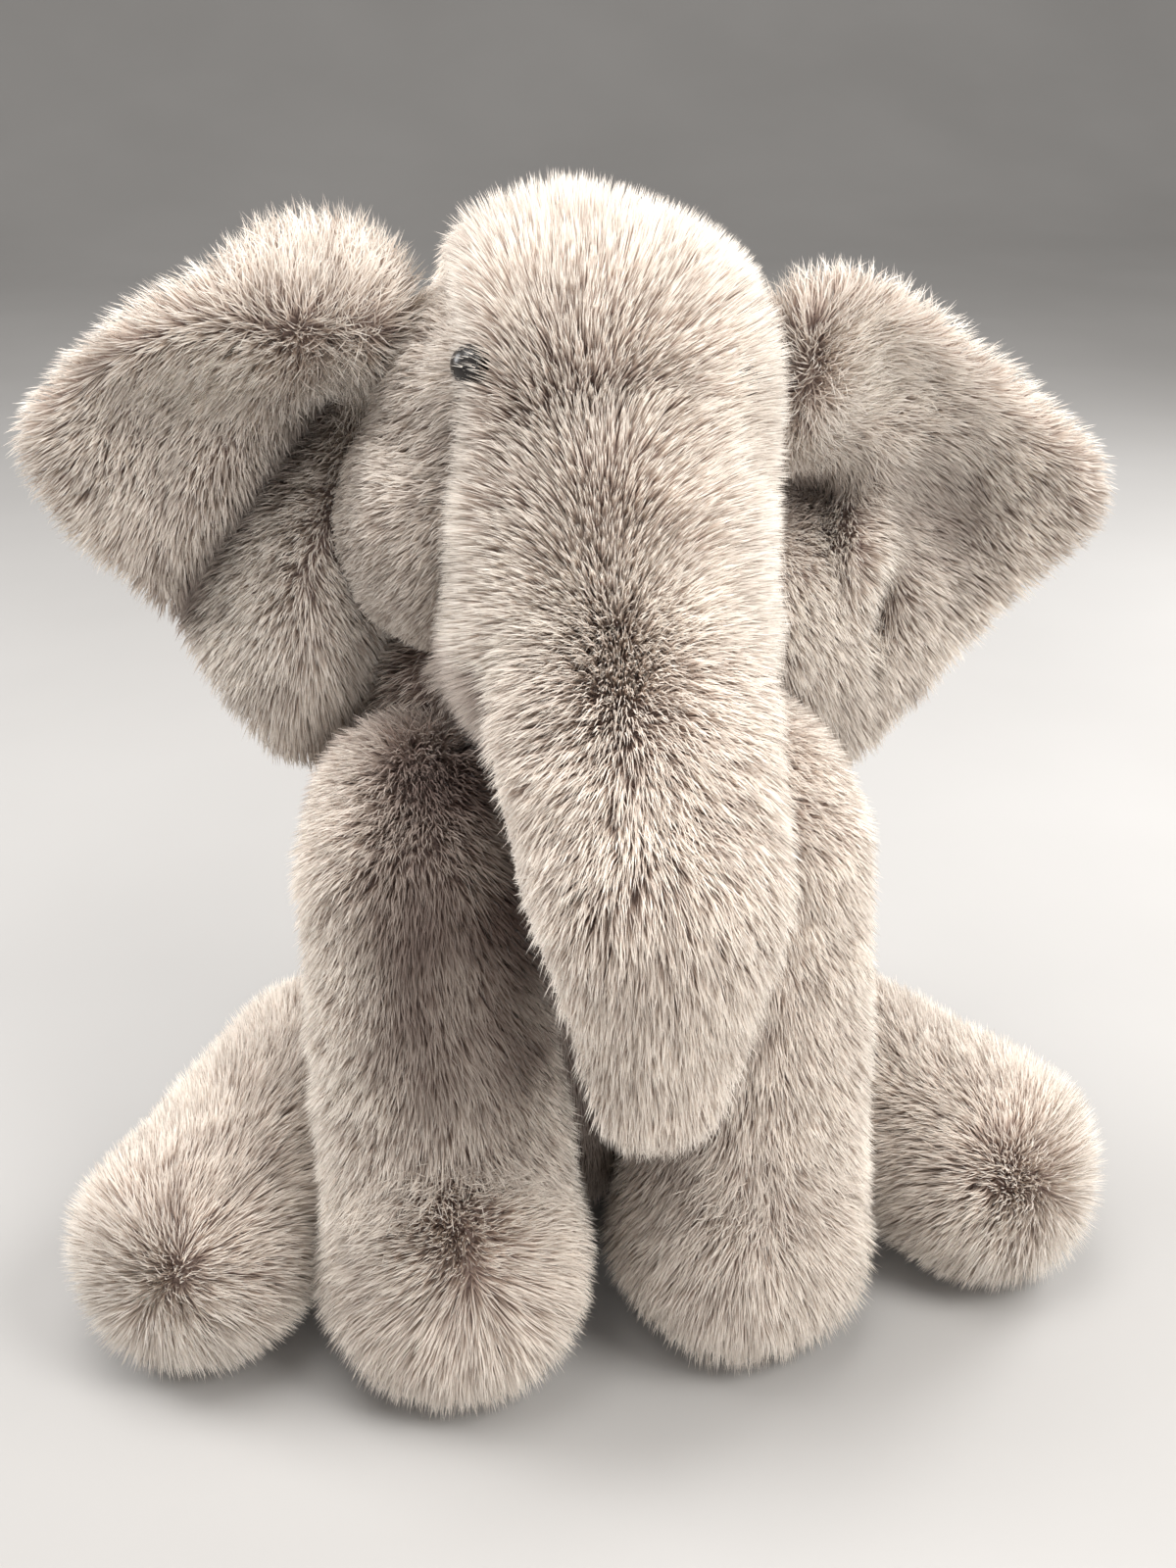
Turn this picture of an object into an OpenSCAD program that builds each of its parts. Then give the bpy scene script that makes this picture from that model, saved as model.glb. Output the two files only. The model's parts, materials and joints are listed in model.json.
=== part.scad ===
// Seated plush elephant, sewn from long-pile faux fur and stuffed.
// +Z is up, the toy looks along -Y, and its own left side is at +X.
// The origin is the middle of the flat patch that it sits on.

/* [Fabric and fits] */
// Thickness of the pile fabric, backing and pressed pile together
pile = 7; // [4:0.5:9]
// Free space between two sewn parts that swing past each other
sewn_gap = 3; // [2:0.5:6]
// Free space between a skin and what is stuffed into it
layer_gap = 0.4; // [0.2:0.1:1]

/* [Body] */
// Radius of the body at the seat
seat_r = 50; // [42:1:60]
// Radius of the body at the chest
chest_r = 35; // [29:1:42]
// Height of the chest's centre above the surface it sits on
chest_z = 118; // [98:1:142]
// Radius of the flat patch that the toy sits on
rest_r = 27; // [20:1:33]
// How far the chest leans forward from the seat's centre
chest_lean = 20; // [12:1:28]
// Radius of the body behind each shoulder
yoke_r = 25; // [20:1:27]
// Radius of the pouch of pellets in the seat
pouch_r = 24; // [18:1:27]

/* [Head] */
// Radius of the head's dome
head_r = 52; // [43:1:63]
// Radius of the muzzle and cheeks under the dome
muzzle_r = 46; // [38:1:56]
// How far the dome's centre is above the muzzle's
dome_rise = 25; // [18:1:34]
// How far the dome's centre is behind the muzzle's
dome_back = 11; // [6:1:18]
// Space for the neck between the body and the head
neck_gap = 9; // [8:1:14]
// Degrees that the head leans forward over the chest
neck_lean = 16; // [8:1:24]
// Degrees that the head is tilted towards its left side
head_tilt = 6; // [-8:1:8]
// Width of the panel that runs from the crown down to the trunk
gusset_w = 62; // [50:1:74]
// Diameter of an eye
eye_d = 9; // [6:0.5:11]

/* [Trunk] */
// Radius of the trunk where it leaves the face
trunk_root_r = 32; // [26:1:38]
// Radius of the trunk at its bend
trunk_bend_r = 28; // [23:1:33]
// Radius of the trunk's tip
trunk_tip_r = 18; // [15:1:22]
// How far the bend is under the root
trunk_drop = 36; // [30:1:44]
// Length of the trunk from its bend to the centre of its tip
trunk_len = 38; // [31:1:46]
// How far the trunk hangs towards the toy's left side
trunk_shift = 2; // [-4:1:4]

/* [Ears] */
// Width of an ear from its root to its tip
ear_w = 79; // [65:1:95]
// Height of an ear from its crown to its lobe
ear_h = 122; // [101:1:147]
// Thickness of each of an ear's two fur layers
ear_layer = 5.5; // [4:0.5:7]

/* [Front legs] */
// Radius of a front leg at the shoulder
foreleg_r = 28; // [23:1:34]
// How far the shoulders are above the chest's centre
shoulder_rise = 14; // [4:1:18]
// Radius of a front foot
forefoot_r = 32; // [26:1:38]
// How far ahead of the body's bulge the front feet stand
forefoot_ahead = 6; // [0:1:14]

/* [Hind legs] */
// Radius of a hind leg at the hip
hip_r = 30; // [25:1:36]
// Radius of a hind foot
hindfoot_r = 31; // [26:1:37]
// Length of a hind leg from its hip to the centre of its foot
hindleg_len = 75; // [66:1:88]
// Free space between a front foot and the hind leg beside it
leg_gap = 2; // [1:0.5:6]
// Radius of the pouch of pellets in each hind foot
foot_pouch_r = 16; // [12:1:18]

/* [Tail] */
// Length of the tail from its root to the middle of its tuft
tail_len = 40; // [33:1:48]
// Radius of the tail
tail_r = 5; // [4:0.5:6]
// Radius of the tuft at the tail's end
tuft_r = 8; // [7:0.5:10]

/* [Hidden] */
$fn = 48;

fur = [0.72, 0.64, 0.61];
fur_pale = [0.80, 0.73, 0.70];
fur_deep = [0.62, 0.53, 0.51];
filling = [0.96, 0.96, 0.94];
pouch_cloth = [0.88, 0.86, 0.80];
pellet_grey = [0.85, 0.88, 0.90];
black = [0.05, 0.05, 0.05];

far = 800;        // reaches past the whole toy on every side
arc_steps = 9;    // straight steps in each rounded end of a capsule
left = 1;
right = -1;
filling_in = pile + layer_gap;   // how far the filling stays inside a skin's outside

// Body: a tapered capsule from the seat's centre to the chest's
seat_c = [0, 0, sqrt(seat_r * seat_r - rest_r * rest_r)];
chest_c = [0, -chest_lean, chest_z];
back_seam_y = -8;                // the belly and back panels meet here
pouch_wall = 0.8;
pouch_c = [0, 4, filling_in + pouch_r];

// Neck and head, before the head is tilted
up_neck = [0, -sin(neck_lean), cos(neck_lean)];
neck_c = chest_c + (chest_r + neck_gap / 2) * up_neck;
neck_r = chest_r / 2;
stitch_r = 1.2;                  // radius of the doubled closing thread
muzzle_c = chest_c + (chest_r + neck_gap + muzzle_r) * up_neck;
dome_c = muzzle_c + [0, dome_back, dome_rise];
crown_seam = gusset_w / 2;       // the head's side seams are this far from its middle
chin_z = muzzle_c.z - 10;        // the gusset ends here, behind the trunk

// Eyes: each looks out of the dome beside the gusset
eye_round = 43;                  // degrees round from straight ahead
eye_up = 23;                     // degrees up from level
eye_dir = [sin(eye_round) * cos(eye_up), -cos(eye_round) * cos(eye_up), sin(eye_up)];
eye_c = dome_c + head_r * eye_dir;
eye_hole = eye_d + 1;
eye_sink = pile - 2;             // the eye's flat back is this far under the pile's outside
shank_r = 2;
shank_len = 12;
washer_r = 5.5;
washer_t = 1.5;
washer_sink = eye_sink + shank_len - 2;

// Front legs: the shoulder lies beside the chest, the foot stands clear of the seat
shoulder_out = sqrt(pow(foreleg_r + chest_r + sewn_gap, 2) - pow(shoulder_rise, 2));
shoulder_c = chest_c + [shoulder_out * sin(40), -shoulder_out * cos(40), shoulder_rise];
yoke_out = 30;                   // the body's two yoke balls are this far from its middle
yoke_rise = 4;                   // and this far above the shoulders' centres
yoke_reach = foreleg_r + yoke_r + sewn_gap;
yoke_back = sqrt(pow(yoke_reach, 2) - pow(shoulder_c.x - yoke_out, 2) - pow(yoke_rise, 2));
yoke_c = [yoke_out, shoulder_c.y + yoke_back, shoulder_c.z + yoke_rise];
sole_sink = 2;                   // how much of a round foot is pressed flat
forefoot_x = forefoot_r + sewn_gap + 2;
forefoot_z = forefoot_r - sole_sink;
forefoot_reach = seat_r + forefoot_r + sewn_gap;
forefoot_y = -forefoot_ahead
  - sqrt(pow(forefoot_reach, 2) - pow(forefoot_x, 2) - pow(seat_c.z - forefoot_z, 2));
forefoot_c = [forefoot_x, forefoot_y, forefoot_z];

// Hind legs: the hip ball sits in the body's side, and the leg just clears the front foot
hip_c = [seat_r + 0.4 * hip_r, -0.25 * hip_r, hip_r + 8];
hindfoot_z = hindfoot_r - sole_sink;
to_forefoot = [forefoot_x - hip_c.x, forefoot_y - hip_c.y];
leg_clear = forefoot_r + max(hip_r, hindfoot_r) + leg_gap;
hindleg_turn = atan2(to_forefoot.y, to_forefoot.x) + asin(leg_clear / norm(to_forefoot));
hindleg_reach = sqrt(pow(hindleg_len, 2) - pow(hip_c.z - hindfoot_z, 2));
hindfoot_c = [hip_c.x + hindleg_reach * cos(hindleg_turn),
              hip_c.y + hindleg_reach * sin(hindleg_turn), hindfoot_z];
sole_dir = (hindfoot_c - hip_c) / norm(hindfoot_c - hip_c);

// Trunk: a root ball in the face, a bend in front of the legs, a hanging tip
trunk_tuck = 3;                  // how far the trunk sinks between the front legs
trunk_hang = [0, -sin(5), -cos(5)];
trunk_root_c = muzzle_c + [trunk_shift, 7 - muzzle_r, -0.37 * muzzle_r];
trunk_bend_c = [trunk_shift, shoulder_c.y - foreleg_r - trunk_bend_r + trunk_tuck, trunk_root_c.z - trunk_drop];
trunk_tip_c = trunk_bend_c + trunk_len * trunk_hang;
trunk_seam = 0.66 * trunk_root_r;   // half the width of the trunk's front panel

// Ears: flat, hung from a line beside the dome
ear_x = head_r;
ear_y = dome_c.y + 13;
ear_top = dome_c.z + 0.66 * head_r;
ear_root_gap = sewn_gap + 1;

// Tail
tail_rise = 22;                  // height of the tail's root over the seat's centre
tail_root = [0, sqrt(seat_r * seat_r - tail_rise * tail_rise) + tail_r + 1, seat_c.z + tail_rise];
tuft_c = tail_root + tail_len * [0, sin(20), -cos(20)];

// Half the outline of a capsule: radius r1 at the origin and r2 at height h.
function capsule_outline(r1, r2, h) =
  let (slope = asin((r1 - r2) / h))
  concat(
    [for (i = [0:arc_steps]) let (a = -90 + (90 + slope) * i / arc_steps)
      r1 * [cos(a), sin(a)]],
    [for (i = [0:arc_steps]) let (a = slope + (90 - slope) * i / arc_steps)
      [0, h] + r2 * [cos(a), sin(a)]]);

// The turn that takes +Z onto the direction v.
function aim(v) = [0, acos(v.z / norm(v)), atan2(v.y, v.x)];

// A solid capsule from p1 to p2, with both radii made larger by grow.
module capsule(p1, r1, p2, r2, grow = 0) {
  translate(p1) rotate(aim(p2 - p1)) rotate_extrude()
    polygon(capsule_outline(r1 + grow, r2 + grow, norm(p2 - p1)));
}

// Everything on the side of the point p that the unit vector dir points to.
module side_of(p, dir) {
  translate(p + far / 2 * dir) cube(far, center = true);
}

// Everything under height z.
module under(z) {
  side_of([0, 0, z], [0, 0, -1]);
}

// Draws a left-hand piece on the side s.
module on_side(s) {
  if (s == left) children();
  else mirror([1, 0, 0]) children();
}

// Body

module body_solid(grow = 0) {
  capsule(seat_c, seat_r, chest_c, chest_r, grow);
  for (s = [left, right]) on_side(s) capsule(chest_c, chest_r - 2, yoke_c, yoke_r, grow);
}

// The room around the neck's filling and thread, so that the yokes don't stand in its way as it turns.
module neck_room() {
  at_neck() translate([0, 0, -neck_gap / 4 - sewn_gap / 2])
    cylinder(h = far, r = neck_r + layer_gap + 2 * stitch_r + sewn_gap);
}

// The room that the hind legs take out of the body.
module hip_rooms() {
  for (s = [left, right]) on_side(s) hindleg_solid(sewn_gap / 2);
}

module body_skin() {
  difference() {
    body_solid();
    body_solid(-pile);
    under(pile);
    hip_rooms();
    neck_room();
  }
}

module seat_panel() {
  color(fur_deep) difference() {
    body_solid();
    under(0);
    side_of([0, 0, pile], [0, 0, 1]);
    hip_rooms();
  }
}

module belly_panel() {
  color(fur_deep) difference() {
    body_skin();
    side_of([0, back_seam_y, 0], [0, 1, 0]);
  }
}

module back_panel(s) {
  color(fur) difference() {
    body_skin();
    side_of([0, back_seam_y, 0], [0, -1, 0]);
    side_of([0, 0, 0], [-s, 0, 0]);
  }
}

module body_stuffing() {
  color(filling) difference() {
    body_solid(-filling_in);
    under(filling_in);
    hip_rooms();
    translate(pouch_c) sphere(pouch_r + layer_gap);
  }
}

module seat_pouch() {
  color(pouch_cloth) translate(pouch_c) difference() {
    sphere(pouch_r);
    sphere(pouch_r - pouch_wall);
  }
}

module seat_pellets() {
  color(pellet_grey) translate(pouch_c) difference() {
    sphere(pouch_r - pouch_wall - layer_gap);
    side_of([0, 0, pouch_r / 2], [0, 0, 1]);
  }
}

// Neck

module at_neck() {
  translate(neck_c) rotate([neck_lean, 0, 0]) children();
}

module neck_stuffing() {
  color(filling) at_neck() cylinder(h = neck_gap / 2, r = neck_r, center = true);
}

module neck_stitch() {
  color(fur_deep) at_neck() rotate_extrude()
    translate([neck_r + layer_gap + stitch_r, 0]) circle(stitch_r);
}

// Head

// Tilts what is drawn upright into the head's place.
module in_head() {
  translate(muzzle_c) rotate([0, head_tilt, 0]) translate(-muzzle_c) children();
}

module head_solid(grow = 0) {
  capsule(muzzle_c, muzzle_r, dome_c, head_r, grow);
}

module trunk_socket() {
  translate(trunk_root_c) sphere(trunk_root_r + sewn_gap / 2);
}

// Draws along +Z, out of the dome, at the eye on the side s.
module at_eye(s) {
  on_side(s) translate(eye_c) rotate(aim(eye_dir)) children();
}

module head_skin() {
  difference() {
    head_solid();
    head_solid(-pile);
    for (s = [left, right]) at_eye(s) cylinder(h = 4 * pile, d = eye_hole, center = true);
  }
}

module head_gusset() {
  color(fur) difference() {
    in_head() difference() {
      head_skin();
      side_of([crown_seam, 0, 0], [1, 0, 0]);
      side_of([-crown_seam, 0, 0], [-1, 0, 0]);
      under(chin_z);
    }
    trunk_socket();
  }
}

module chin_panel() {
  color(fur_deep) difference() {
    in_head() difference() {
      head_skin();
      side_of([crown_seam, 0, 0], [1, 0, 0]);
      side_of([-crown_seam, 0, 0], [-1, 0, 0]);
      side_of([0, 0, chin_z], [0, 0, 1]);
    }
    trunk_socket();
  }
}

module head_side(s) {
  color(fur_pale) difference() {
    in_head() difference() {
      head_skin();
      side_of([s * crown_seam, 0, 0], [-s, 0, 0]);
    }
    trunk_socket();
  }
}

module head_stuffing() {
  color(filling) difference() {
    in_head() difference() {
      head_solid(-filling_in);
      for (s = [left, right]) at_eye(s) translate([0, 0, -eye_sink - shank_len - layer_gap])
        cylinder(h = far, r = washer_r + layer_gap);
    }
    trunk_socket();
  }
}

module eye(s) {
  color(black) in_head() at_eye(s) translate([0, 0, -eye_sink]) {
    difference() {
      sphere(d = eye_d);
      under(0);
    }
    translate([0, 0, -shank_len]) cylinder(h = shank_len + 1, r = shank_r);
  }
}

module eye_washer(s) {
  color(filling) in_head() at_eye(s) translate([0, 0, -washer_sink]) difference() {
    cylinder(h = washer_t, r = washer_r);
    cylinder(h = 3 * washer_t, r = shank_r + 0.05, center = true);
  }
}

// Trunk

module trunk_solid(grow = 0) {
  capsule(trunk_root_c, trunk_root_r, trunk_bend_c, trunk_bend_r, grow);
  capsule(trunk_bend_c, trunk_bend_r, trunk_tip_c, trunk_tip_r, grow);
}

module trunk_skin() {
  difference() {
    trunk_solid();
    trunk_solid(-pile);
  }
}

// The space in front of the trunk's middle line, between its two front seams.
module trunk_fore() {
  line = [for (p = [trunk_root_c, trunk_bend_c, trunk_tip_c]) [p.y, p.z]];
  rotate([90, 0, 90]) translate([0, 0, trunk_shift - trunk_seam]) linear_extrude(2 * trunk_seam)
    polygon(concat([line[0] + [0, far]], line, [line[2] - [0, far], [-far, -far], [-far, far]]));
}

module trunk_front() {
  color(fur) intersection() {
    trunk_skin();
    trunk_fore();
  }
}

module trunk_side(s) {
  color(fur_pale) difference() {
    trunk_skin();
    trunk_fore();
    side_of([trunk_shift, 0, 0], [-s, 0, 0]);
  }
}

module trunk_stuffing() {
  color(filling) trunk_solid(-filling_in);
}

// Ears

// The ear's flat shape, seen from the front: x outwards, y up from its crown.
module ear_shape() {
  difference() {
    hull() {
      translate([0.17 * ear_w, -18]) circle(18);
      translate([ear_w - 16, -0.39 * ear_h]) circle(16);
      translate([0.33 * ear_w, 16 - ear_h]) circle(16);
      translate([0.1 * ear_w, 34 - ear_h]) circle(14);
    }
    translate([-far, -far / 2]) square(far);
  }
}

// One fur layer of an ear, from y1 to y2 in front of and behind its middle.
module ear_sheet(y1, y2) {
  difference() {
    translate([ear_x, ear_y + y2, ear_top]) rotate([90, 0, 0])
      linear_extrude(y2 - y1) ear_shape();
    head_solid(ear_root_gap);
  }
}

module ear_front(s) {
  color(fur_pale) in_head() on_side(s) ear_sheet(-ear_layer, 0);
}

module ear_back(s) {
  color(fur) in_head() on_side(s) ear_sheet(0, ear_layer);
}

// Front legs

module foreleg_solid(grow = 0) {
  capsule(shoulder_c, foreleg_r, forefoot_c, forefoot_r, grow);
}

module foreleg_skin(s) {
  color(fur) on_side(s) difference() {
    foreleg_solid();
    foreleg_solid(-pile);
    under(pile);
  }
}

module foreleg_sole(s) {
  color(fur_pale) on_side(s) difference() {
    foreleg_solid();
    under(0);
    side_of([0, 0, pile], [0, 0, 1]);
  }
}

module foreleg_stuffing(s) {
  color(filling) on_side(s) difference() {
    foreleg_solid(-filling_in);
    under(filling_in);
  }
}

// Hind legs

module hindleg_solid(grow = 0) {
  capsule(hip_c, hip_r, hindfoot_c, hindfoot_r, grow);
}

// Everything past the seam around the hind foot's sole, which faces forwards.
module sole_side() {
  translate(hindfoot_c + 0.5 * hindfoot_r * sole_dir) rotate(aim(sole_dir))
    side_of([0, 0, 0], [0, 0, 1]);
}

module hindleg_shell() {
  difference() {
    hindleg_solid();
    hindleg_solid(-pile);
    under(0);
  }
}

module hindleg_skin(s) {
  color(fur) on_side(s) difference() {
    hindleg_shell();
    sole_side();
  }
}

module hindleg_sole(s) {
  color(fur_pale) on_side(s) intersection() {
    hindleg_shell();
    sole_side();
  }
}

module hindleg_stuffing(s) {
  color(filling) on_side(s) difference() {
    hindleg_solid(-filling_in);
    translate(hindfoot_c) sphere(foot_pouch_r + layer_gap);
  }
}

module foot_pouch(s) {
  color(pouch_cloth) on_side(s) translate(hindfoot_c) sphere(foot_pouch_r);
}

// Tail

module tail_skin() {
  color(fur) difference() {
    capsule(tail_root, tail_r, tuft_c, 0.8 * tail_r);
    translate(tuft_c) sphere(tuft_r);
  }
}

module tail_tuft() {
  color(fur_pale) translate(tuft_c) sphere(tuft_r);
}

seat_panel();
belly_panel();
back_panel(left);  // back_panel_left
back_panel(right);  // back_panel_right
body_stuffing();
seat_pouch();
seat_pellets();
neck_stuffing();
neck_stitch();
head_gusset();
head_side(left);  // head_side_left
head_side(right);  // head_side_right
chin_panel();
head_stuffing();
eye(left);  // eye_left
eye(right);  // eye_right
eye_washer(left);  // eye_washer_left
eye_washer(right);  // eye_washer_right
trunk_front();
trunk_side(left);  // trunk_side_left
trunk_side(right);  // trunk_side_right
trunk_stuffing();
ear_front(left);  // ear_front_left
ear_front(right);  // ear_front_right
ear_back(left);  // ear_back_left
ear_back(right);  // ear_back_right
foreleg_skin(left);  // foreleg_skin_left
foreleg_skin(right);  // foreleg_skin_right
foreleg_sole(left);  // foreleg_sole_left
foreleg_sole(right);  // foreleg_sole_right
foreleg_stuffing(left);  // foreleg_stuffing_left
foreleg_stuffing(right);  // foreleg_stuffing_right
hindleg_skin(left);  // hindleg_skin_left
hindleg_skin(right);  // hindleg_skin_right
hindleg_sole(left);  // hindleg_sole_left
hindleg_sole(right);  // hindleg_sole_right
hindleg_stuffing(left);  // hindleg_stuffing_left
hindleg_stuffing(right);  // hindleg_stuffing_right
foot_pouch(left);  // foot_pouch_left
foot_pouch(right);  // foot_pouch_right
tail_skin();
tail_tuft();
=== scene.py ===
import itertools
import json
import math

import bmesh
import bpy
import numpy as np
from mathutils import Matrix, Vector


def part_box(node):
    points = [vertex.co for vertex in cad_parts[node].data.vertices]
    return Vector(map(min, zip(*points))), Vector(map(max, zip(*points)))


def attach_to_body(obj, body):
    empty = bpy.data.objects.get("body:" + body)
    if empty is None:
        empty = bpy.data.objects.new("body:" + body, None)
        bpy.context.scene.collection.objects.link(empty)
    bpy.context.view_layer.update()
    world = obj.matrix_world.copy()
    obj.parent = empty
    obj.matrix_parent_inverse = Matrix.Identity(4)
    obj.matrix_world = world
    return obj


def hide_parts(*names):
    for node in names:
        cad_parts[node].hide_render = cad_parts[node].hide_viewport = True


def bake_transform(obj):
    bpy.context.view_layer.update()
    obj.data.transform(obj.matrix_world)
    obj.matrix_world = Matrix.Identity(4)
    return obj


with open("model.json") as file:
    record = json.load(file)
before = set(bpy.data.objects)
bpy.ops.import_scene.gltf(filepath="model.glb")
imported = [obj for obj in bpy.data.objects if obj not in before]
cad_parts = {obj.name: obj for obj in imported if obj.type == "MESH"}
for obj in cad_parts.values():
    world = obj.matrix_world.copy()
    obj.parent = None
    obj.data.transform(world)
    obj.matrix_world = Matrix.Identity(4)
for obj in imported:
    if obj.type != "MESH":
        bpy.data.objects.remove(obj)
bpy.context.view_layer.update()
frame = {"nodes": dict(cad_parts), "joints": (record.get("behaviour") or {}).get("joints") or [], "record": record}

# A seated plush elephant. Each limb is a soft stuffed skin with its own long-pile fur on it.
# Lengths are in millimetres until a mesh is made, and "left" is the toy's own left, at +X.

MM = 0.001
SIDES = {"left": 1, "right": -1}

# --- Places, from the frame ---------------------------------------------------------------


def joint_place(name):
    return np.array(next(j["pos_m"] for j in frame["joints"] if j["name"] == name)) / MM


def node_box(name):
    low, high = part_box(name)
    return np.array(low) / MM, np.array(high) / MM


def node_middle(name):
    low, high = node_box(name)
    return (low + high) / 2


HEAD_TILT = math.radians(6)
NECK_LEAN = math.radians(16)
NECK = joint_place("neck_turn")
UP_NECK = np.array([0, -math.sin(NECK_LEAN), math.cos(NECK_LEAN)])
MUZZLE = NECK + 50.5 * UP_NECK
DOME = MUZZLE + [0, 11, 25]
CHEST = NECK - 39.5 * UP_NECK
SEAT = np.array([0, 0, 42.0])
TRUNK_ROOT = joint_place("trunk_lift")
TRUNK_BEND = TRUNK_ROOT + [0, -38.6, -36]
TRUNK_TIP = TRUNK_BEND + [0, -3.3, -37.9]
SHOULDER = joint_place("foreleg_swing_left")
YOKE = SHOULDER + [-11.5, 54.7, 4]
FOREFOOT = np.append(node_middle("foreleg_sole_left")[:2], 30)
HIP = joint_place("hindleg_splay_left")
HINDFOOT = node_middle("foot_pouch_left")
TAIL_ROOT = joint_place("tail_wag")
TUFT = node_middle("tail_tuft")
SKIN_IN = 6.0            # the backing lies this far inside the CAD's outer surface

# Radii of the CAD's rounded forms
SEAT_R, CHEST_R = 50, 35
MUZZLE_R, DOME_R = 46, 52
TRUNK_ROOT_R, TRUNK_BEND_R, TRUNK_TIP_R = 36, 32, 20
FORELEG_R, FOREFOOT_R = 28, 32
HINDLEG_R, HINDFOOT_R = 30, 31

HEAD_TURN = np.array(Matrix.Rotation(HEAD_TILT, 3, "Y"))


def tilt(p):
    """Takes points drawn on the upright head to the tilted head."""
    return (np.asarray(p, float) - MUZZLE) @ HEAD_TURN.T + MUZZLE


def untilt(p):
    return (np.asarray(p, float) - MUZZLE) @ HEAD_TURN + MUZZLE


def unit(v):
    v = np.asarray(v, float)
    return v / np.maximum(np.linalg.norm(v, axis=-1, keepdims=True), 1e-9)


def smooth(x, low, high):
    t = np.clip((np.asarray(x, float) - low) / (high - low), 0, 1)
    return t * t * (3 - 2 * t)


def noise(p, size, seed):
    """Smooth noise from -1 to 1, with bumps about size apart."""
    table = np.random.default_rng(seed).uniform(-1, 1, (32, 32, 32))
    q = np.asarray(p, float) / size
    cell = np.floor(q).astype(int)
    f = q - cell
    f = f * f * (3 - 2 * f)
    total = 0
    for corner in itertools.product((0, 1), repeat=3):
        weight = np.prod(np.where(corner, f, 1 - f), axis=1)
        i, j, k = ((cell + corner) % 32).T
        total = total + weight * table[i, j, k]
    return total


def noise_vector(p, size, seed):
    return np.stack([noise(p, size, seed + i) for i in range(3)], axis=1)


def line_distance(p, path):
    """How far each point is from a line through the points of path."""
    best = np.full(len(p), 1e9)
    for a, b in zip(path[:-1], path[1:]):
        a, b = np.asarray(a, float), np.asarray(b, float)
        t = np.clip((p - a) @ (b - a) / ((b - a) @ (b - a)), 0, 1)
        best = np.minimum(best, np.linalg.norm(p - a - t[:, None] * (b - a), axis=1))
    return best


# --- Skins: rounded forms, joined, softened and swollen by their filling -------------------


def capsule_mesh(p1, r1, p2, r2, rings=14, around=28):
    """Vertices and faces of a tapered capsule."""
    p1, p2 = np.asarray(p1, float), np.asarray(p2, float)
    axis = p2 - p1
    length = max(np.linalg.norm(axis), 1e-3)
    z = axis / length
    x = unit(np.cross(z, [0.3, 1, 0.2]))
    y = np.cross(z, x)
    slope = math.asin(max(-0.99, min(0.99, (r1 - r2) / length)))
    half = rings // 2
    rows = []
    for i in range(1, half + 1):
        a = -math.pi / 2 + (math.pi / 2 + slope) * i / half
        rows.append((r1 * math.cos(a), r1 * math.sin(a)))
    for i in range(half):
        a = slope + (math.pi / 2 - slope) * i / half
        rows.append((r2 * math.cos(a), length + r2 * math.sin(a)))
    turn = 2 * math.pi * np.arange(around) / around
    ring = np.cos(turn)[:, None] * x + np.sin(turn)[:, None] * y
    verts = [p1 - r1 * z] + [p1 + r * c + h * z for r, h in rows for c in ring] + [p2 + r2 * z]
    faces = []
    last = len(verts) - 1
    for k in range(around):
        n = (k + 1) % around
        faces.append((0, 1 + n, 1 + k))
        faces.append((last, last - around + k, last - around + n))
        for i in range(len(rows) - 1):
            a = 1 + i * around
            faces.append((a + k, a + n, a + around + n, a + around + k))
    return verts, faces


def new_object(name, verts_mm, faces):
    mesh = bpy.data.meshes.new(name)
    mesh.from_pydata([tuple(float(c) * MM for c in v) for v in verts_mm], [], faces)
    mesh.update()
    piece = bpy.data.objects.new(name, mesh)
    bpy.context.scene.collection.objects.link(piece)
    return piece


def bake_modifiers(piece):
    """Replaces a piece's mesh with its evaluated one."""
    graph = bpy.context.evaluated_depsgraph_get()
    graph.update()
    mesh = bpy.data.meshes.new_from_object(piece.evaluated_get(graph))
    old = piece.data
    piece.modifiers.clear()
    piece.data = mesh
    mesh.name = piece.name
    bpy.data.meshes.remove(old)
    return piece


def points_of(piece):
    co = np.zeros(len(piece.data.vertices) * 3)
    piece.data.vertices.foreach_get("co", co)
    return co.reshape(-1, 3) / MM


def set_points(piece, p):
    piece.data.vertices.foreach_set("co", (np.asarray(p) * MM).ravel())
    piece.data.update()


def normals_of(piece):
    n = np.zeros(len(piece.data.vertices) * 3)
    piece.data.vertices.foreach_get("normal", n)
    return n.reshape(-1, 3)


def soft_form(name, parts, voxel=3.0, soften=10):
    """One closed skin around tapered capsules (p1, r1, p2, r2), with its inner corners softened."""
    verts, faces = [], []
    for part in parts:
        v, f = capsule_mesh(*part)
        faces += [tuple(i + len(verts) for i in face) for face in f]
        verts += list(v)
    piece = new_object(name, verts, faces)
    remesh = piece.modifiers.new("remesh", "REMESH")
    remesh.mode = "VOXEL"
    remesh.voxel_size = voxel * MM
    relax = piece.modifiers.new("relax", "SMOOTH")
    relax.factor = 0.5
    relax.iterations = soften
    return bake_modifiers(piece)


SWELL_FRAMES = 20


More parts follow.
